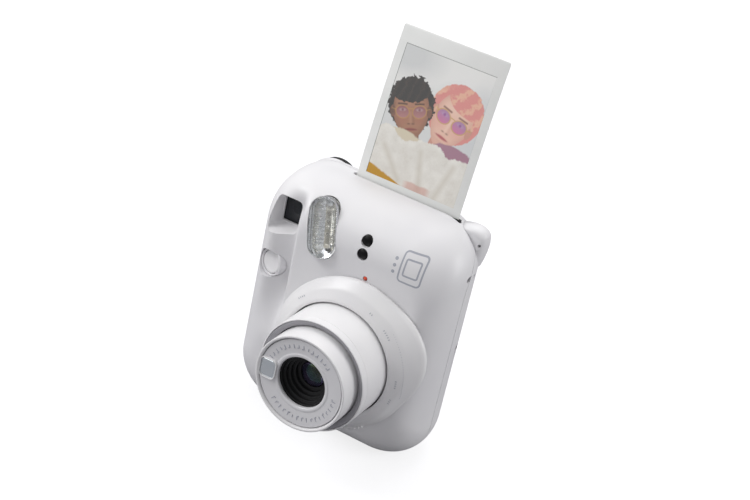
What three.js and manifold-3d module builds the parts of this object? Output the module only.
// Instant camera for small print film, with a twist-out lens and a print leaving its top slot.
// Frame in millimetres: +Z up, the lens looks along -Y, +X to the right seen from the front.
// The origin is the middle of the base, at the level of the surface that the camera stands on.
import * as THREE from 'three';
import { mergeVertices } from 'three/addons/utils/BufferGeometryUtils.js';
import Module from 'manifold-3d';

const wasm = await Module();
wasm.setup();

// ---------- driving dimensions ----------
const GAP = 0.3;                    // clearance between neighbouring pieces
const WALL = 2.0;                   // thickness of the moulded shells
const HEIGHT = 122;                 // body height
const BODY_LEFT = -52.4;            // widest point of the grip side
const BODY_RIGHT = 50.5;            // widest point of the other side
const FRONT_Y = -22.5;              // flat front of the shell
const BACK_Y = 29;                  // flat back of the shell
const BASE_CUT = 0.9;               // the base is the rounded underside cut flat this far up
const CORNER = 22;                  // corner radius of the body seen from the front
const LENS_X = 8;                   // lens axis, also the middle of the print
const LENS_Z = 51;
const SEAM_Y = -2;                  // seam between the covers on the sides
const SEAM_TOP_Y = 12;              // the same seam on the top, behind the print slot

const RING_INNER = 27.3;            // bore of the twist ring
const RING_BACK = FRONT_Y - GAP;
const RING_FRONT = -31.3;
const OUTER_R = 26.7;               // outer lens barrel
const OUTER_BORE = 23.3;
const OUTER_FRONT = -51.6;
const OUTER_BACK = -27;
const INNER_R = 22.8;               // inner lens barrel
const INNER_FRONT = -61.6;
const INNER_BACK = -38;
const THROAT_R = 12;                // opening in the lens face
const BLADE_Y = -46.6;              // plane of the shutter blades

const SHEET_W = 54;                 // print film
const SHEET_H = 86;
const SHEET_T = 0.4;
const PATH_R = 640;                 // the sheet rides on an arc of this radius
const PATH_Z = 18;                  // height where the arc is upright
const PATH_Y = -0.34;               // its depth there
const SHEET_LOW = 109;              // height of the lower edge of the print as it stands

const ROLLER_R = 3.5;
const ROLLER_Z = 108;               // height of the nip between the two rollers
const GEAR_MODULE = 0.6583;
const TOOTH_TIP = 0.42;             // height of a tooth outside the pitch circle
const TOOTH_ROOT = 0.62;            // depth of the gap inside it
const GEAR_X = 39.8;
const GEAR_T = 2.4;

const HINGE_X = -27;                // film door hinge
const HINGE_Y = 29.6;
const DOOR_LOW = 7;
const DOOR_TOP = 101;

const COUNTER_X = 18;               // film counter on the door
const COUNTER_Z = 24;

const FLASH_LOW = new THREE.Vector3(-12.5, -22.4, 91.8);
const FLASH_TOP = new THREE.Vector3(-20.6, -14.2, 116.4);
const FLASH_W = 14;

const SENSORS = [[6.2, 107.5], [6.3, 101.5]];
const MARK = [10.3, 90.9];           // index mark above the twist ring

const FINDER_X = -38.5;             // viewfinder axis
const FINDER_Z = 100;
const EYE_X = -39.5;                // eyepiece at the back
const EYE_Z = 102.8;
const EYE_R = 8.2;
const HUMP_R = 12.9;
const HUMP_Y = 30.5;
const BUTTON = new THREE.Vector3(-40.0, -14.6, 74.8);
const BUTTON_AIM = new THREE.Vector3(-0.30, -0.95, 0.05).normalize();

// ---------- materials ----------
const finish = (color, roughness, metalness = 0) => (
  new THREE.MeshStandardMaterial({ color, roughness, metalness })
);
const WHITE = finish(0xe9e9ee, 0.5);
const RING_WHITE = finish(0xeeeef2, 0.45);
const GREY = finish(0xb9bac2, 0.55);
const BLACK = finish(0x151517, 0.6);
const RUBBER = finish(0x1c1c1e, 0.9);
const CLEAR = finish(0xdfe6ea, 0.08);
const GLASS = finish(0x2a3038, 0.05);
const MIRROR = finish(0xbfc9d2, 0.04, 1);
const STEEL = finish(0xb8bcc0, 0.3, 1);
const BRASS = finish(0xc9a45a, 0.35, 1);
const RED = finish(0xd9482b, 0.5);
const PAPER = finish(0xf4f2ec, 0.4);
const BOARD = finish(0x1f5c3a, 0.6);
const CELL = finish(0x3a5f8f, 0.4, 0.2);
const SILVER = finish(0xd2d4d8, 0.2, 1);
const GEAR_WHITE = finish(0xe4e2da, 0.5);
const FOAM = finish(0x222224, 0.95);

// ---------- solids ----------
function clean(geometry) {
  const source = geometry.index ? geometry.toNonIndexed() : geometry;
  const bare = new THREE.BufferGeometry();
  bare.setAttribute('position', source.getAttribute('position').clone());
  const merged = mergeVertices(bare, 1e-4);
  const index = merged.index.array;
  const kept = [];
  for (let i = 0; i < index.length; i += 3) {
    const [a, b, c] = [index[i], index[i + 1], index[i + 2]];
    if (a !== b && b !== c && c !== a) kept.push(a, b, c);
  }
  merged.setIndex(kept);
  return merged;
}

function solid(geometry) {
  const merged = clean(geometry);
  return new wasm.Manifold(new wasm.Mesh({
    numProp: 3,
    vertProperties: new Float32Array(merged.getAttribute('position').array),
    triVerts: new Uint32Array(merged.index.array),
  }));
}

function shape(manifold) {
  const mesh = manifold.getMesh();
  const geometry = new THREE.BufferGeometry();
  geometry.setAttribute('position', new THREE.BufferAttribute(new Float32Array(mesh.vertProperties), 3));
  geometry.setIndex(new THREE.BufferAttribute(new Uint32Array(mesh.triVerts), 1));
  return geometry;
}

const cut = (body, ...tools) => tools.reduce((rest, tool) => rest.subtract(tool), body);
const join = (body, ...others) => others.reduce((sum, other) => sum.add(other), body);

function box(x0, x1, y0, y1, z0, z1) {
  const geometry = new THREE.BoxGeometry(x1 - x0, y1 - y0, z1 - z0);
  geometry.translate((x0 + x1) / 2, (y0 + y1) / 2, (z0 + z1) / 2);
  return solid(geometry);
}

// A turned piece about an axis along Y; the profile is a closed outline of [radius, y].
function turned(profile, x = LENS_X, z = LENS_Z, sides = 36) {
  let area = 0;
  profile.forEach(([r, y], i) => {
    const [r2, y2] = profile[(i + 1) % profile.length];
    area += r * y2 - r2 * y;
  });
  const ordered = area > 0 ? [...profile] : [...profile].reverse();
  const points = [...ordered, ordered[0]].map(([r, y]) => new THREE.Vector2(r, y));
  const geometry = new THREE.LatheGeometry(points, sides);
  geometry.translate(x, 0, z);
  const result = solid(geometry);
  return result.volume() > 0 ? result : solid(flipped(geometry));
}

function flipped(geometry) {
  const copy = clean(geometry);
  const index = copy.index.array;
  for (let i = 0; i < index.length; i += 3) [index[i], index[i + 1]] = [index[i + 1], index[i]];
  return copy;
}

const discY = (r, x, z, y0, y1, sides = 24) => turned([[0, y0], [r, y0], [r, y1], [0, y1]], x, z, sides);
const tubeY = (r, bore, x, z, y0, y1, sides = 32) => (
  turned([[bore, y0], [r, y0], [r, y1], [bore, y1]], x, z, sides)
);

function rod(start, end, radius, sides = 16) {
  const axis = end.clone().sub(start);
  const geometry = new THREE.CylinderGeometry(radius, radius, axis.length(), sides);
  const turn = new THREE.Quaternion();
  turn.setFromUnitVectors(new THREE.Vector3(0, 1, 0), axis.clone().normalize());
  geometry.applyQuaternion(turn);
  const middle = start.clone().add(end).multiplyScalar(0.5);
  geometry.translate(middle.x, middle.y, middle.z);
  return solid(geometry);
}

const rodX = (x0, x1, y, z, radius, sides = 16) => (
  rod(new THREE.Vector3(x0, y, z), new THREE.Vector3(x1, y, z), radius, sides)
);
const rodZ = (z0, z1, x, y, radius, sides = 16) => (
  rod(new THREE.Vector3(x, y, z0), new THREE.Vector3(x, y, z1), radius, sides)
);

function extruded(outline, depth, matrix = new THREE.Matrix4(), curveSegments = 5) {
  const geometry = new THREE.ExtrudeGeometry(outline, { depth, bevelEnabled: false, curveSegments });
  geometry.applyMatrix4(matrix);
  return solid(geometry);
}

function stadium(width, length) {
  const r = width / 2;
  const h = length / 2 - r;
  const outline = new THREE.Shape();
  outline.absarc(0, h, r, 0, Math.PI);
  outline.absarc(0, -h, r, Math.PI, 2 * Math.PI);
  outline.closePath();
  return outline;
}

function roundedRectangle(width, height, radius) {
  const [a, b] = [width / 2, height / 2];
  const outline = new THREE.Shape();
  outline.absarc(a - radius, b - radius, radius, 0, Math.PI / 2);
  outline.absarc(-a + radius, b - radius, radius, Math.PI / 2, Math.PI);
  outline.absarc(-a + radius, -b + radius, radius, Math.PI, 1.5 * Math.PI);
  outline.absarc(a - radius, -b + radius, radius, 1.5 * Math.PI, 2 * Math.PI);
  outline.closePath();
  return outline;
}

// A flat outline drawn with Y across and Z up, ready to be pushed along +X from x.
const planeYZ = (x, y = 0, z = 0) => new THREE.Matrix4().makeBasis(
  new THREE.Vector3(0, 1, 0), new THREE.Vector3(0, 0, 1), new THREE.Vector3(1, 0, 0),
).setPosition(x, y, z);

// A frame whose local Z points along `aim` and whose local Y leans as near to `up` as it can.
function facing(origin, aim, up = new THREE.Vector3(0, 0, 1)) {
  const z = aim.clone().normalize();
  const x = up.clone().cross(z).normalize();
  const y = z.clone().cross(x);
  return new THREE.Matrix4().makeBasis(x, y, z).setPosition(origin);
}

// ---------- the body's outer form ----------
// Each side of the outline draws in from its widest value along a quarter of a (super)ellipse.
function drawIn(y, peak, front, rear) {
  const [drop, power, end] = y < peak ? front : rear;
  const t = Math.min(1, Math.abs((y - peak) / (end - peak)));
  return drop * (1 - Math.pow(1 - Math.pow(t, power), 1 / power));
}

function sides(y) {
  const right = drawIn(y, -1, [16, 2.2, FRONT_Y], [24, 2, BACK_Y]);
  const left = drawIn(y, 0, [18, 2, FRONT_Y], [16, 2.2, BACK_Y]);
  const top = drawIn(y, 9, [23, 2, FRONT_Y], [20, 2, BACK_Y]);
  const bottom = drawIn(y, 2, [20, 2, FRONT_Y], [15, 2.2, BACK_Y]);
  return {
    right: BODY_RIGHT - right,
    left: BODY_LEFT + left,
    top: HEIGHT - top,
    bottom: bottom - BASE_CUT,
  };
}

// The hand's valley between the grip and the lens housing, as a depth to press the front in by.
const VALLEY = {
  x: -31.5,         // its deepest line
  steep: 4.5,       // its width towards the lens housing
  gentle: 13,       // its width towards the grip
  depth: 7.5,
  low: 38,          // it begins to show at this height and is full `lowFade` above it
  lowFade: 26,
  high: 108,        // it begins to fade at this height and is gone `highFade` above it
  highFade: 12,
};
const smooth = (t) => {
  const s = Math.min(1, Math.max(0, t));
  return s * s * (3 - 2 * s);
};
function valley(x, y, z, inset) {
  // the inner form's valley is wider by the wall, so that the steep side keeps its thickness
  const off = Math.abs(x - VALLEY.x) - 1.3 * inset;
  const across = off / (x > VALLEY.x ? VALLEY.steep : VALLEY.gentle);
  const risen = smooth((z - VALLEY.low) / VALLEY.lowFade);
  const along = risen * smooth((VALLEY.high + VALLEY.highFade - z) / VALLEY.highFade);
  const front = smooth((-4 - y) / 10);
  return VALLEY.depth * (1 - smooth(across)) * along * front;
}

function outlinePoint(y, t, inset) {
  // t runs once round the outline, a quarter of it to each corner and the straights beside it
  const s = sides(y);
  const edges = { l: s.left + inset, r: s.right - inset, b: s.bottom + inset, t: s.top - inset };
  const radius = Math.max(4, CORNER - inset - 0.35 * (BODY_RIGHT - s.right));
  const corners = [
    [edges.r - radius, edges.t - radius, 0],
    [edges.l + radius, edges.t - radius, 1],
    [edges.l + radius, edges.b + radius, 2],
    [edges.r - radius, edges.b + radius, 3],
  ];
  const quarter = Math.floor(t * 4) % 4;
  const inside = t * 4 - Math.floor(t * 4);
  const straight = 0.22;                       // share of a quarter that is the straight stretch
  const [cx, cz, q] = corners[quarter];
  if (inside < 1 - straight) {
    const angle = (q + inside / (1 - straight)) * Math.PI / 2;
    return [cx + radius * Math.cos(angle), cz + radius * Math.sin(angle)];
  }
  const [nx, nz] = corners[(quarter + 1) % 4];
  const endAngle = (q + 1) * Math.PI / 2;
  const share = (inside - (1 - straight)) / straight;
  const [ax, az] = [cx + radius * Math.cos(endAngle), cz + radius * Math.sin(endAngle)];
  const [bx, bz] = [nx + radius * Math.cos(endAngle), nz + radius * Math.sin(endAngle)];
  return [ax + (bx - ax) * share, az + (bz - az) * share];
}

// Rings of the form, as shares of the way from the middle to the front, to the back and across a cap.
const FINE = {
  around: 44,
  ahead: [1, 0.985, 0.93, 0.84, 0.7, 0.5, 0.25],
  behind: [0.06, 0.3, 0.5, 0.68, 0.82, 0.93, 0.985, 1],
  cap: [0.9, 0.78, 0.66, 0.52, 0.36, 0.18],
};
const COARSE = {
  around: 36,
  ahead: [1, 0.98, 0.9, 0.75, 0.5, 0.2],
  behind: [0.06, 0.5, 0.8, 0.95, 1],
  cap: [0.9, 0.78, 0.66, 0.5, 0.25],
};

// The closed form of the body, inset all round: rings from the front cap over the sides to the
// back cap.
function bodyForm(inset, grid) {
  const front = FRONT_Y + inset;
  const back = BACK_Y - inset;
  const rings = [];
  const ring = (y, scale) => {
    const points = [];
    const yForm = y < 0 ? Math.max(y, FRONT_Y + 0.02) : Math.min(y, BACK_Y - 0.02);
    for (let i = 0; i < grid.around; i += 1) {
      const [x, z] = outlinePoint(yForm, i / grid.around, inset);
      const px = LENS_X * (1 - scale) + x * scale;
      const pz = (LENS_Z + 8) * (1 - scale) + z * scale;
      points.push(new THREE.Vector3(px, y + valley(px, y, pz, inset), pz));
    }
    rings.push(points);
  };
  [...grid.cap].reverse().forEach((scale) => ring(front, scale));
  grid.ahead.forEach((t) => ring(front * t, 1));
  grid.behind.forEach((t) => ring(back * t, 1));
  [...grid.cap].filter((_, i) => i % 2).forEach((scale) => ring(back, scale));
  return closedRings(rings);
}

// Skins a list of equally long rings and closes both ends with a fan.
function closedRings(rings) {
  const positions = [];
  const index = [];
  const n = rings[0].length;
  rings.forEach((points) => points.forEach((p) => positions.push(p.x, p.y, p.z)));
  const middle = (points) => points.reduce((sum, p) => sum.add(p), new THREE.Vector3()).divideScalar(n);
  const first = middle(rings[0]);
  const last = middle(rings[rings.length - 1]);
  positions.push(first.x, first.y, first.z, last.x, last.y, last.z);
  const [a, b] = [rings.length * n, rings.length * n + 1];
  for (let i = 0; i < n; i += 1) {
    const j = (i + 1) % n;
    index.push(a, i, j);
    index.push(b, (rings.length - 1) * n + j, (rings.length - 1) * n + i);
    for (let k = 0; k < rings.length - 1; k += 1) {
      const [p, q] = [k * n + i, k * n + j];
      index.push(p, p + n, q, q, p + n, q + n);
    }
  }
  const geometry = new THREE.BufferGeometry();
  geometry.setAttribute('position', new THREE.Float32BufferAttribute(positions, 3));
  geometry.setIndex(index);
  const result = solid(geometry);
  return result.volume() > 0 ? result : solid(flipped(geometry));
}

// The region in front of the seam, grown or shrunk by `shift`: upright on the sides and swept back
// at the top.
function seamRegion(shift) {
  const s = shift;
  const outline = new THREE.Shape();
  outline.moveTo(-80, -20);
  outline.lineTo(SEAM_Y + s, -20);
  outline.lineTo(SEAM_Y + s, 84);
  outline.bezierCurveTo(SEAM_Y + s, 104, SEAM_TOP_Y - 8 + s, 110, SEAM_TOP_Y + s, 114);
  outline.lineTo(SEAM_TOP_Y + s, 150);
  outline.lineTo(-80, 150);
  outline.closePath();
  return extruded(outline, 160, planeYZ(-80), 8);
}

// ---------- the print's path ----------
const pathY = (z) => PATH_Y + PATH_R - Math.sqrt(PATH_R * PATH_R - (z - PATH_Z) ** 2);
const pathLean = (z) => Math.asin((z - PATH_Z) / PATH_R);
// A slab that follows the path between two heights, `half` thick on each side.
function pathSlab(x0, x1, z0, z1, half, steps) {
  const outline = new THREE.Shape();
  const centre = [PATH_Y + PATH_R, PATH_Z];
  const at = (z, offset) => {
    const lean = pathLean(z);
    const r = PATH_R + offset;
    return [centre[0] - r * Math.cos(lean), centre[1] + r * Math.sin(lean)];
  };
  const ahead = [];
  const behind = [];
  for (let i = 0; i <= steps; i += 1) {
    const z = z0 + (z1 - z0) * i / steps;
    ahead.push(at(z, half));
    behind.push(at(z, -half));
  }
  [...ahead, ...behind.reverse()].forEach(([y, z], i) => {
    if (i) outline.lineTo(y, z);
    else outline.moveTo(y, z);
  });
  return extruded(outline, x1 - x0, planeYZ(x0));
}
const arcTop = (z, length) => PATH_Z + PATH_R * Math.sin(pathLean(z) + length / PATH_R);

// ---------- gears ----------
function gear(teeth, x, y, z, thickness, phase, bore) {
  const pitch = GEAR_MODULE * teeth / 2;
  const tip = pitch + TOOTH_TIP;
  const root = pitch - TOOTH_ROOT;
  const outline = new THREE.Shape();
  for (let i = 0; i < teeth; i += 1) {
    const middle = phase + 2 * Math.PI * i / teeth;
    const step = 2 * Math.PI / teeth;
    const corners = [[root, -0.29], [tip, -0.12], [tip, 0.12], [root, 0.29]];
    corners.forEach(([r, share], k) => {
      const a = middle + share * step;
      if (i === 0 && k === 0) outline.moveTo(r * Math.cos(a), r * Math.sin(a));
      else outline.lineTo(r * Math.cos(a), r * Math.sin(a));
    });
  }
  outline.closePath();
  const hole = new THREE.Path();
  hole.absarc(0, 0, bore, 0, 2 * Math.PI, true);
  outline.holes.push(hole);
  return extruded(outline, thickness, planeYZ(x, y, z), 6);
}

// ---------- assembly helper ----------
const camera = new THREE.Group();
function piece(name, manifold, material) {
  const mesh = new THREE.Mesh(shape(manifold), material);
  mesh.name = name;
  camera.add(mesh);
  return manifold;
}

// ---------- shells ----------
const outerForm = bodyForm(0, FINE).intersect(box(-80, 80, -80, 80, 0, 150));
const innerForm = bodyForm(WALL, COARSE);
const flashMiddle = FLASH_LOW.clone().add(FLASH_TOP).multiplyScalar(0.5);
const flashUp = FLASH_TOP.clone().sub(FLASH_LOW).normalize();
const flashAim = new THREE.Vector3(1, 0, 0).cross(flashUp).normalize();
const flashLength = FLASH_TOP.distanceTo(FLASH_LOW) + 1;
const flashFrame = facing(flashMiddle, flashAim, flashUp);
const buttonFrame = facing(BUTTON, BUTTON_AIM);

const along = (matrix, depth) => (
  matrix.clone().multiply(new THREE.Matrix4().makeTranslation(0, 0, depth))
);
const roundAlong = (matrix, r, from, to, sidesCount = 20) => {
  const geometry = new THREE.CylinderGeometry(r, r, to - from, sidesCount);
  geometry.rotateX(Math.PI / 2);
  geometry.translate(0, 0, (from + to) / 2);
  geometry.applyMatrix4(matrix);
  return solid(geometry);
};
const ringAlong = (matrix, r, bore, from, to, sidesCount = 20) => (
  cut(roundAlong(matrix, r, from, to, sidesCount), roundAlong(matrix, bore, from - 1, to + 1, sidesCount))
);

// The funnel in front of the viewfinder, as the wedge of air that it is.
function finderFunnel(grow) {
  const rect = (y, w, h, dx, dz) => [[1, 1], [-1, 1], [-1, -1], [1, -1]].map(([sx, sz]) => (
    new THREE.Vector3(FINDER_X + dx + sx * (w / 2 + grow), y, FINDER_Z + dz + sz * (h / 2 + grow))
  ));
  return closedRings([rect(-30, 21, 27, -0.5, 2), rect(-9 + grow, 11, 13, 0, 0)]);
}

function frontShell() {
  const walls = outerForm.subtract(innerForm).intersect(seamRegion(-GAP / 2));
  const collar = finderFunnel(1.4).intersect(outerForm).subtract(finderFunnel(0));
  const floor = box(FINDER_X - 6.6, FINDER_X + 6.6, -9.3, -7.6, FINDER_Z - 7.6, FINDER_Z + 7.6);
  const opened = join(walls, collar, floor);
  return cut(
    opened,
    finderFunnel(0).intersect(box(-60, 0, -40, -9, 60, 130)),
    box(FINDER_X - 4.6, FINDER_X + 4.6, -12, -5, FINDER_Z - 5.6, FINDER_Z + 5.6),
    discY(OUTER_R + 1.2, LENS_X, LENS_Z, -30, -10, 36),
    extruded(stadium(FLASH_W + 2 * GAP, flashLength + 2 * GAP), 24, along(flashFrame, -14)),
    ...SENSORS.map(([x, z]) => discY(2.8, x, z, -40, -10, 20)),
    discY(1.2, MARK[0], MARK[1], -40, -10, 12),
    roundAlong(buttonFrame, 7.6, -8, 14),
    pathSlab(LENS_X - 28.6, LENS_X + 28.6, 112, 135, 1.3, 2),
    strapLug(GAP),
  );
}

const doorZone = box(HINGE_X + 1.4, 70, 12, 60, DOOR_LOW, DOOR_TOP);
const doorZoneIn = box(HINGE_X + 1.4 + GAP, 70, 12 + GAP, 60, DOOR_LOW + GAP, DOOR_TOP - GAP);

const SCREWS = [[-33, 26], [-33, 50], [-33, 72]];
const PIN_BORE = 1.25;              // bore of the hinge knuckles
const KNUCKLE_R = 2.4;
const KNUCKLE_CLEARANCE_R = 2.9;    // hollow that the other leaf's knuckles turn in
const batteryBay = (grow) => box(-60, -45, 1 + grow, 19 - grow, 13 + grow, 66 - grow);

// The strap lug: a rounded ear standing off the top corner, with a small cord hole through it.
const LUG_FRONT = 8;
const LUG_BACK = 15;
const LUG_HOLE = { x: 48.1, z: 113.7, r: 0.8 };
function strapLug(grow = 0) {
  const outline = new THREE.Shape();
  const g = grow;
  outline.moveTo(39 - g, 119.5 + g);
  outline.quadraticCurveTo(46.5 + g, 122.3 + g, 49.8 + g, 118.4 + g);
  outline.quadraticCurveTo(51.6 + g, 113, 48.8 + g, 103 - g);
  outline.lineTo(39 - g, 103 - g);
  outline.closePath();
  const toXZ = new THREE.Matrix4().makeBasis(
    new THREE.Vector3(1, 0, 0), new THREE.Vector3(0, 0, 1), new THREE.Vector3(0, -1, 0),
  ).setPosition(0, LUG_BACK + g, 0);
  return extruded(outline, LUG_BACK - LUG_FRONT + 2 * g, toXZ, 6);
}

piece('front_cover', frontShell(), WHITE);

const knuckles = (z0, z1) => rodZ(z0, z1, HINGE_X, HINGE_Y, KNUCKLE_R, 20);
// The round hump that carries the eyepiece, drawn in by `inset`.
function eyepieceHump(inset) {
  const rings = [[6 + inset, HUMP_R], [BACK_Y - 2, HUMP_R], [HUMP_Y - inset, HUMP_R - 1.6]];
  return closedRings(rings.map(([y, r]) => Array.from({ length: 28 }, (_, i) => {
    const a = 2 * Math.PI * i / 28;
    return new THREE.Vector3(EYE_X + (r - inset) * Math.cos(a), y, EYE_Z + (r - inset) * Math.sin(a));
  })));
}

function rearShell() {
  const humpSkin = join(outerForm, eyepieceHump(0));
  const hollow = join(innerForm, eyepieceHump(WALL));
  const walls = humpSkin.subtract(hollow).subtract(seamRegion(GAP / 2));
  const lug = strapLug().subtract(innerForm);
  return cut(
    join(walls, lug),
    doorZone,
    rodZ(DOOR_LOW - 0.1, DOOR_TOP + 0.1, HINGE_X, HINGE_Y, KNUCKLE_CLEARANCE_R, 20),
    discY(EYE_R, EYE_X, EYE_Z, 10, 50, 28),
    discY(LUG_HOLE.r, LUG_HOLE.x, LUG_HOLE.z, LUG_FRONT - 3, LUG_BACK + 3, 16),
    batteryBay(0),
    ...SCREWS.map(([x, z]) => discY(2.2, x, z, 25, 40, 14)),
    box(42, 60, 5, 11.9, 48, 62),
  );
}
const rearKnuckles = join(knuckles(12, 20), knuckles(32, 40), knuckles(80, 88)).subtract(
  rodZ(0, 120, HINGE_X, HINGE_Y, PIN_BORE, 16),
);
const rearArms = join(
  box(HINGE_X - 8, HINGE_X - 1.6, BACK_Y - 2, HINGE_Y, 12, 20),
  box(HINGE_X - 8, HINGE_X - 1.6, BACK_Y - 2, HINGE_Y, 32, 40),
  box(HINGE_X - 8, HINGE_X - 1.6, BACK_Y - 2, HINGE_Y, 80, 88),
);
piece('rear_cover', join(rearShell(), rearKnuckles, rearArms), WHITE);

function doorShell() {
  const skin = outerForm.subtract(innerForm).intersect(doorZoneIn);
  const arms = join(
    box(HINGE_X + 1.9, HINGE_X + 8, BACK_Y - 2, HINGE_Y, 20.4, 31.6),
    box(HINGE_X + 1.9, HINGE_X + 8, BACK_Y - 2, HINGE_Y, 68.4, 79.6),
  );
  const eyes = join(knuckles(20.4, 31.6), knuckles(68.4, 79.6));
  return cut(
    join(skin, arms, eyes),
    rodZ(0, 120, HINGE_X, HINGE_Y, PIN_BORE, 16),
    rodZ(DOOR_LOW, 20.1, HINGE_X, HINGE_Y, KNUCKLE_CLEARANCE_R, 20),
    rodZ(31.9, 68.1, HINGE_X, HINGE_Y, KNUCKLE_CLEARANCE_R, 20),
    rodZ(79.9, DOOR_TOP, HINGE_X, HINGE_Y, KNUCKLE_CLEARANCE_R, 20),
    discY(4.2, COUNTER_X, COUNTER_Z, 20, 40, 20),
    box(LENS_X - 5, LENS_X + 5, 20, 40, 60, 92),
  );
}
piece('film_door', doorShell(), WHITE);

piece('hinge_pin', rodZ(11, 89, HINGE_X, HINGE_Y, 1.0, 12), STEEL);
const doorSkin = outerForm.subtract(innerForm);
piece('door_latch', doorSkin.intersect(box(40, 60, 5.3, 11.6, 48.4, 57.4)), WHITE);
piece('battery_door', doorSkin.intersect(batteryBay(GAP)), WHITE);

const frameXZ = (x, y, z) => new THREE.Matrix4().makeBasis(
  new THREE.Vector3(1, 0, 0), new THREE.Vector3(0, 0, 1), new THREE.Vector3(0, -1, 0),
).setPosition(x, y, z);
const plateY = (outline, x, z, y0, y1) => extruded(outline, y1 - y0, frameXZ(x, y1, z), 4);

piece('door_seal', plateY(roundedRectangle(60, 86, 16), LENS_X - 1, 54, 20.5, 22)
  .subtract(plateY(roundedRectangle(56, 82, 14), LENS_X - 1, 54, 20, 23)), FOAM);
piece('pressure_plate', plateY(roundedRectangle(40, 60, 4), LENS_X, 52, 13.2, 14.4), BLACK);
function leafSpring() {
  const strip = new THREE.Shape();
  const at = (t, off) => [15 + off + 11 * Math.abs(t) ** 1.6, 52 + 26 * t];
  const steps = [-1, -0.75, -0.5, -0.25, 0, 0.25, 0.5, 0.75, 1];
  const outlinePoints = [...steps.map((t) => at(t, 0)), ...[...steps].reverse().map((t) => at(t, 0.7))];
  outlinePoints.forEach(([y, z], i) => {
    if (i) strip.lineTo(y, z);
    else strip.moveTo(y, z);
  });
  strip.closePath();
  return extruded(strip, 14, planeYZ(LENS_X - 19));
}
piece('leaf_spring', leafSpring(), STEEL);
piece('counter_dial', discY(6, COUNTER_X, COUNTER_Z, 24.6, 26.2, 24), PAPER);
piece('counter_window', discY(3.9, COUNTER_X, COUNTER_Z, 27.4, 28.8, 20), CLEAR);
piece('door_window', plateY(roundedRectangle(9.4, 31.4, 1.5), LENS_X, 76, 27.4, 28.8), CLEAR);
SCREWS.forEach(([x, z], i) => piece(`case_screw_${i + 1}`, discY(1.9, x, z, 26.8, 28.6, 12), STEEL));

// ---------- power ----------
const CELL_R = 7.1;
const CELL_X = -37.3;
const CELL_LOW = 14.5;
const CELL_HIGH = 64.5;
const batteryCell = (y) => join(
  rodZ(CELL_LOW, CELL_HIGH - 1.2, CELL_X, y, CELL_R, 24),
  rodZ(CELL_HIGH - 2, CELL_HIGH, CELL_X, y, 2.6, 12),
);
piece('cell_front', batteryCell(-2.6), CELL);
piece('cell_rear', batteryCell(12.2), CELL);
piece('contact_plate', box(-43, -31, -8, 18, 65, 65.8), BRASS);
piece('flash_capacitor', rodZ(69, 91, -36, 9, 6, 20), BLACK);
piece('main_board', box(-4, 15, -15.6, -14.4, 82, 100), BOARD);

// ---------- viewfinder ----------
const tubeBox = (w, h, y0, y1) => (
  box(FINDER_X - w / 2, FINDER_X + w / 2, y0, y1, FINDER_Z - h / 2, FINDER_Z + h / 2)
);
piece('viewfinder_window', tubeBox(11, 13, -7.3, -6.3), GLASS);
piece('viewfinder_tube', tubeBox(12, 13, -6, 25).subtract(tubeBox(10, 11, -7, 26)), BLACK);
piece('eyepiece_lens', discY(EYE_R - GAP, EYE_X, EYE_Z, 28.2, 30.2, 24), GLASS);
piece('eyecup', turned([
  [8.5, HUMP_Y + GAP], [11.6, HUMP_Y + GAP], [11.9, 31.8], [11.2, 33], [9.6, 33], [8.5, 32.2],
], EYE_X, EYE_Z, 32), RUBBER);

// ---------- flash and sensors ----------
piece('flash_window', extruded(stadium(FLASH_W, flashLength), 5.8, along(flashFrame, -3), 8), CLEAR);
const reflectorShell = extruded(stadium(12.6, flashLength - 1.6), 6, along(flashFrame, -9.4), 6);
const reflectorBowl = extruded(stadium(10.6, flashLength - 4), 6, along(flashFrame, -7.8), 6);
piece('flash_reflector', reflectorShell.subtract(reflectorBowl), SILVER);
const flashPoint = (up, depth) => (
  flashMiddle.clone().addScaledVector(flashUp, up).addScaledVector(flashAim, depth)
);
piece('flash_tube', rod(flashPoint(-9.5, -5.8), flashPoint(9.5, -5.8), 1.3, 10), CLEAR);
piece('sensor_window_upper', discY(2.5, SENSORS[0][0], SENSORS[0][1], -20.6, -17.4, 20), BLACK);
piece('sensor_window_lower', discY(2.5, SENSORS[1][0], SENSORS[1][1], -22.4, -18.6, 20), BLACK);
piece('index_mark', discY(0.9, MARK[0], MARK[1], -22.8, -20.8, 12), RED);

// ---------- shutter button ----------
piece('button_ring', ringAlong(buttonFrame, 7.3, 5.9, -3, 1.2), WHITE);
piece('shutter_button', roundAlong(buttonFrame, 5.6, -2, 0.8, 24), RING_WHITE);
piece('button_spring', ringAlong(buttonFrame, 3, 2.2, -8, -3.8, 16), STEEL);

// ---------- lens ----------
// The twist ring's outline: a round ring with a broad thumb lobe on the right and a small one below.
const bump = (angle, centre, half) => {
  const d = Math.abs(((angle - centre + 540) % 360) - 180);
  return d < half ? Math.cos(Math.PI / 2 * d / half) ** 2 : 0;
};
const RING_R = 35.9;                // round part of the twist ring
const LOBES = [                     // how far each lobe stands out, its middle and half its spread
  [5.4, 22, 48],
  [4.0, 60, 85],
  [1.9, 282, 26],
];
const ringRadius = (angle) => (
  LOBES.reduce((radius, [out, middle, half]) => radius + out * bump(angle, middle, half), RING_R)
);

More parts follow.
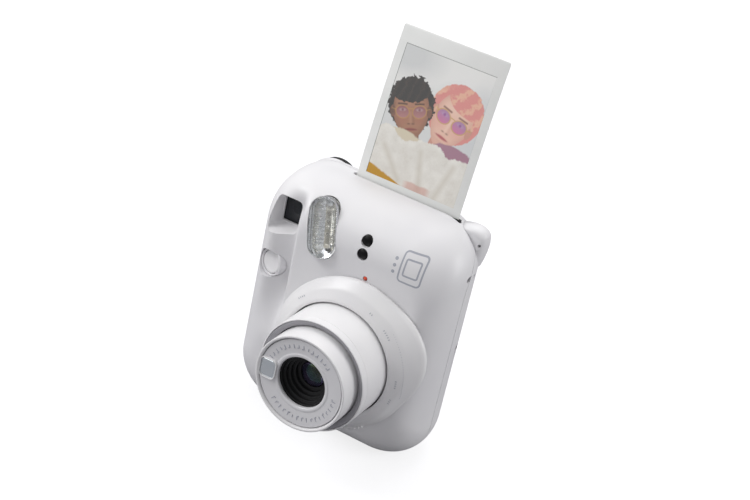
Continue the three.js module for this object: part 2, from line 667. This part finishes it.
function sweptRound(count, profileAt) {
  const positions = [];
  const index = [];
  let m = 0;
  for (let i = 0; i < count; i += 1) {
    const degrees = 360 * i / count;
    const profile = profileAt(degrees);
    m = profile.length;
    const [c, s] = [Math.cos(degrees * Math.PI / 180), Math.sin(degrees * Math.PI / 180)];
    profile.forEach(([r, y]) => positions.push(LENS_X + r * c, y, LENS_Z + r * s));
  }
  for (let i = 0; i < count; i += 1) {
    const [p, q] = [i * m, ((i + 1) % count) * m];
    for (let k = 0; k < m; k += 1) {
      const l = (k + 1) % m;
      index.push(p + k, q + k, q + l, p + k, q + l, p + l);
    }
  }
  const geometry = new THREE.BufferGeometry();
  geometry.setAttribute('position', new THREE.Float32BufferAttribute(positions, 3));
  geometry.setIndex(index);
  const result = solid(geometry);
  return result.volume() > 0 ? result : solid(flipped(geometry));
}
piece('twist_ring', sweptRound(48, (angle) => {
  const r = ringRadius(angle);
  return [
    [RING_INNER, RING_BACK], [r, RING_BACK], [r, RING_BACK - 1.8], [r - 1.2, RING_BACK - 3],
    [(r + RING_INNER) / 2 + 1, RING_FRONT + 2.2],
    [RING_INNER + 1.2, RING_FRONT], [RING_INNER, RING_FRONT],
  ];
}), RING_WHITE);
piece('outer_barrel', turned([
  [OUTER_BORE, OUTER_BACK], [OUTER_R, OUTER_BACK],
  [OUTER_R, OUTER_FRONT + 0.5], [OUTER_R - 0.5, OUTER_FRONT],
  [25.7, OUTER_FRONT], [25.7, OUTER_FRONT + 1.8], [OUTER_BORE, OUTER_FRONT + 1.8],
]), RING_WHITE);
piece('barrel_front_ring', turned([
  [OUTER_BORE, OUTER_FRONT + 1.5], [25.4, OUTER_FRONT + 1.5], [25.4, OUTER_FRONT + 0.4],
  [OUTER_BORE, OUTER_FRONT + 1.0],
]), GREY);

const mirrorAt = new THREE.Vector3(LENS_X - 17.1, INNER_FRONT + 1.1, LENS_Z);
const mirrorPlate = (grow, y0, y1) => plateY(
  roundedRectangle(7.8 + 2 * grow, 9.4 + 2 * grow, 2.2), mirrorAt.x, mirrorAt.z, y0, y1,
);
piece('inner_barrel', turned([
  [20.6, INNER_BACK], [INNER_R, INNER_BACK], [INNER_R, INNER_FRONT + 0.5], [INNER_R - 0.5, INNER_FRONT],
  [21.7, INNER_FRONT], [21.3, INNER_FRONT + 0.7], [21.3, -58.6], [20.6, -58.6],
  [20.6, -50.2], [12.7, -50.2], [12.7, -48.4], [20.6, -48.4],
]).subtract(mirrorPlate(GAP, INNER_FRONT - 1, -59)), RING_WHITE);
piece('face_ring', turned([
  [THROAT_R + 0.1, -59.7], [THROAT_R + 0.9, -59.9], [21, -60.8], [21, -58.9], [THROAT_R + 0.1, -58.0],
]).subtract(mirrorPlate(GAP, INNER_FRONT - 1, -57)), GREY);
piece('selfie_mirror', mirrorPlate(0, -60.9, -59.3), MIRROR);
piece('lens_hood', turned([
  [12.4, -57.7], [12.4, -48], [6.3, -48], [6.3, -49.6], [7.8, -49.6], [7.8, -51.6], [9.2, -51.6],
  [9.2, -53.6], [10.4, -53.6], [10.4, -55.6], [11.5, -55.6], [11.5, -57.7],
], LENS_X, LENS_Z, 24), BLACK);
piece('front_lens', turned([
  [0, -48.2], [6, -48.2], [6, -49.2], [4.4, -50.1], [2.3, -50.6], [0, -50.8],
], LENS_X, LENS_Z, 20), GLASS);
piece('shutter_plate', tubeY(20.2, 4.6, LENS_X, LENS_Z, -46.1, -44.9, 36), BLACK);
piece('rear_lens', turned([
  [0, -44.5], [5.4, -44.5], [5.4, -43.2], [3.4, -42.4], [0, -42],
], LENS_X, LENS_Z, 20), GLASS);

// Two blades close the opening; each turns about a pivot beside it.
function blade(side) {
  const outline = new THREE.Shape();
  outline.moveTo(side * 0.15, -5.4);
  outline.lineTo(side * 5.4, -5.4);
  outline.lineTo(side * 8.6, 7.4);
  outline.lineTo(side * 10.8, 11.2);
  outline.lineTo(side * 8.8, 13);
  outline.lineTo(side * 4.4, 9);
  outline.lineTo(side * 0.15, 5.4);
  outline.closePath();
  return plateY(outline, LENS_X, LENS_Z, BLADE_Y - 0.4, BLADE_Y);
}
piece('blade_left', blade(-1), BLACK);
piece('blade_right', blade(1), BLACK);

// ---------- film ----------
piece('print_sheet', pathSlab(
  LENS_X - SHEET_W / 2, LENS_X + SHEET_W / 2, SHEET_LOW, arcTop(SHEET_LOW, SHEET_H), SHEET_T / 2, 12,
), PAPER);
piece('slot_insert', pathSlab(LENS_X - 28.3, LENS_X + 28.3, 114.5, 121.2, 1.1, 3)
  .subtract(pathSlab(LENS_X - 27.4, LENS_X + 27.4, 110, 130, 0.6, 4)), BLACK);
piece('film_pack', cut(
  box(-22, 38, -1.6, 12.4, 11, 103),
  box(-20.6, 36.6, -0.8, 11.2, 12.4, 101.6),
  box(LENS_X - 23, LENS_X + 23, -3, 0, 20, 82),
  box(-19.6, 35.6, 3.8, 7, 100, 110),
), BLACK);
piece('film_stack', box(-19, 35, 6, 10.8, 13, 98.5), PAPER);
piece('pick_claw', box(-24.6, -22.6, 1, 5, 6, 16), STEEL);
piece('dark_chamber', cut(
  box(-22, 38, -6.5, -1.9, 14, 88),
  box(-20.6, 36.6, -5.3, -1, 16, 86),
  discY(OUTER_R + 0.5, LENS_X, LENS_Z, -10, -4, 40),
), BLACK);

// ---------- ejection drive ----------
const nip = { y: pathY(ROLLER_Z), z: ROLLER_Z, lean: pathLean(ROLLER_Z) };
const reach = ROLLER_R + SHEET_T / 2 + 0.25;
const beside = (side) => ({
  y: nip.y + side * reach * Math.cos(nip.lean),
  z: nip.z - side * reach * Math.sin(nip.lean),
});
const frontAxis = beside(-1);
const rearAxis = beside(1);
const motorAxis = { y: -9, z: 97 };
const JOURNAL_R = 1.3;
const BEARING_R = 1.6;
const ARBOR_R = 1.2;                // idler's stub axle on the bracket
const rollerPiece = (axis) => join(
  rodX(-24.2, 37.9, axis.y, axis.z, ROLLER_R, 20),
  rodX(-26.8, GEAR_X + GEAR_T + 0.4, axis.y, axis.z, JOURNAL_R, 12),
);
piece('front_roller', rollerPiece(frontAxis), STEEL);
piece('rear_roller', rollerPiece(rearAxis), STEEL);

const angleTo = (a, b) => Math.atan2(b.z - a.z, b.y - a.y);
// The phase that puts gear B in mesh with gear A, which lies at `direction` from A.
function meshPhase(phaseA, teethA, direction, teethB) {
  const stepA = 2 * Math.PI / teethA;
  const stepB = 2 * Math.PI / teethB;
  return direction + Math.PI + ((direction - phaseA) / stepA + 0.5) * stepB;
}
const GEAR_BORE = 1.55;
const IDLER_BORE = 1.5;
const PINION_BORE = 0.8;
const MOTOR_SHAFT_R = 0.9;
const MOTOR_R = 6.2;
const ROLLER_TEETH = 12;
const IDLER_TEETH = 15;
const PINION_TEETH = 10;
const toIdler = GEAR_MODULE * (ROLLER_TEETH + IDLER_TEETH) / 2;
const toPinion = GEAR_MODULE * (PINION_TEETH + IDLER_TEETH) / 2;
const span = Math.hypot(motorAxis.y - frontAxis.y, motorAxis.z - frontAxis.z);
const share = (toIdler ** 2 - toPinion ** 2 + span ** 2) / (2 * span);
const rise = Math.sqrt(toIdler ** 2 - share ** 2);
const line = angleTo(frontAxis, motorAxis);
const idlerAxis = {
  y: frontAxis.y + share * Math.cos(line) - rise * Math.sin(line),
  z: frontAxis.z + share * Math.sin(line) + rise * Math.cos(line),
};
const frontPhase = angleTo(frontAxis, rearAxis);
const rearPhase = meshPhase(frontPhase, ROLLER_TEETH, frontPhase, ROLLER_TEETH);
const idlerPhase = meshPhase(frontPhase, ROLLER_TEETH, angleTo(frontAxis, idlerAxis), IDLER_TEETH);
const pinionPhase = meshPhase(idlerPhase, IDLER_TEETH, angleTo(idlerAxis, motorAxis), PINION_TEETH);
const gearOn = (axis, teeth, phase, bore) => gear(teeth, GEAR_X, axis.y, axis.z, GEAR_T, phase, bore);
piece('front_gear', gearOn(frontAxis, ROLLER_TEETH, frontPhase, GEAR_BORE), GEAR_WHITE);
piece('rear_gear', gearOn(rearAxis, ROLLER_TEETH, rearPhase, GEAR_BORE), GEAR_WHITE);
piece('idler_gear', gearOn(idlerAxis, IDLER_TEETH, idlerPhase, IDLER_BORE), GEAR_WHITE);
piece('motor_pinion', join(
  gearOn(motorAxis, PINION_TEETH, pinionPhase, PINION_BORE),
  rodX(38.4, GEAR_X + GEAR_T, motorAxis.y, motorAxis.z, MOTOR_SHAFT_R, 10),
), BRASS);
piece('motor', rodX(17, 38.1, motorAxis.y, motorAxis.z, MOTOR_R, 24), STEEL);
const journals = (x0, x1) => [frontAxis, rearAxis].map((axis) => (
  rodX(x0, x1, axis.y, axis.z, BEARING_R, 12)
));
piece('bracket_left', cut(box(-26.2, -24.8, -3, 14.6, 103.6, 113.4), ...journals(-30, -20)), STEEL);
piece('bracket_right', cut(join(
  box(38.3, 39.5, -3, 14.6, 103.6, 112.6),
  box(38.3, 39.5, -13, 2, 91, 106),
  rodX(39, GEAR_X + GEAR_T, idlerAxis.y, idlerAxis.z, ARBOR_R, 12),
), ...journals(36, 42), rodX(36, 42, motorAxis.y, motorAxis.z, 1.3, 12)), STEEL);

export default camera;
